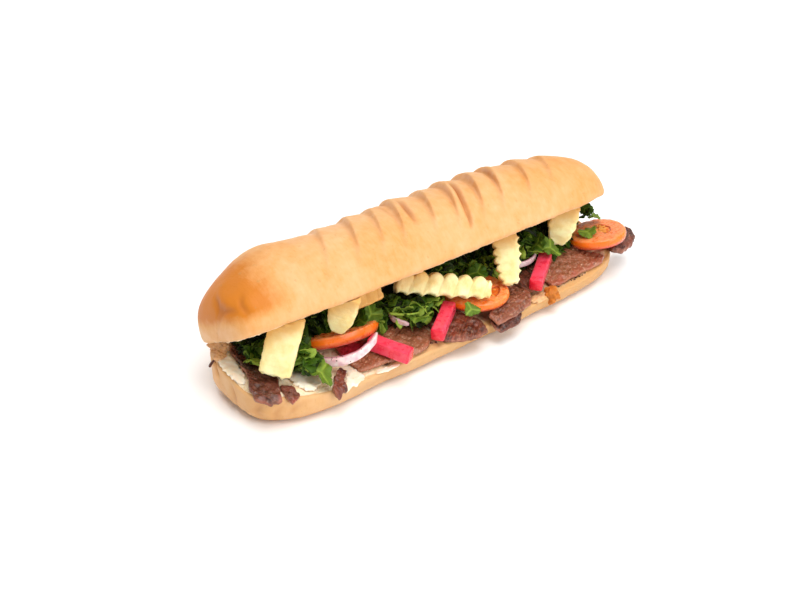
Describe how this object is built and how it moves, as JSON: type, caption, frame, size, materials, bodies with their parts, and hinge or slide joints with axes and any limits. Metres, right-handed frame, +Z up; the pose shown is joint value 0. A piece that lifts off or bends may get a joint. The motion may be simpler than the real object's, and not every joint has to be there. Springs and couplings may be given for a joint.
{
  "type": "shawarma sandwich",
  "caption": "Long soft roll split along its front and filled with sliced beef, parsley, tomato, red onion, pickled turnip and crinkle-cut fries.",
  "frame": {"origin": "on the flat underside of the roll, below the middle of its base", "axes": "+X along the roll, +Y from the open side to the hinge at the back, +Z up"},
  "size_m": [0.2853, 0.0882, 0.081],
  "materials": {
    "crust": "matte baked crust",
    "beef": "moist browned meat",
    "tomato": "wet",
    "onion": "satin",
    "turnip": "wet",
    "potato": "matte fried",
    "parsley": "satin leaf"
  },
  "bodies": {
    "root": {"bread_roll": "crust", "fry_01": "potato", "fry_02": "potato", "fry_03": "potato", "fry_04": "potato", "fry_05": "potato", "fry_06": "potato", "meat_slice_01": "beef", "meat_slice_02": "beef", "meat_slice_03": "beef", "meat_slice_04": "beef", "meat_slice_05": "beef", "meat_slice_06": "beef", "meat_slice_07": "beef", "meat_slice_08": "beef", "meat_slice_09": "beef", "meat_slice_10": "beef", "onion_ring_01": "onion", "onion_ring_02": "onion", "onion_ring_03": "onion", "parsley_heap": "parsley", "parsley_leaf_01": "parsley", "parsley_leaf_02": "parsley", "parsley_leaf_03": "parsley", "parsley_leaf_04": "parsley", "parsley_leaf_05": "parsley", "pickled_turnip_01": "turnip", "pickled_turnip_02": "turnip", "pickled_turnip_03": "turnip", "tomato_slice_01": "tomato", "tomato_slice_02": "tomato", "tomato_slice_03": "tomato"}
  },
  "joints": []
}
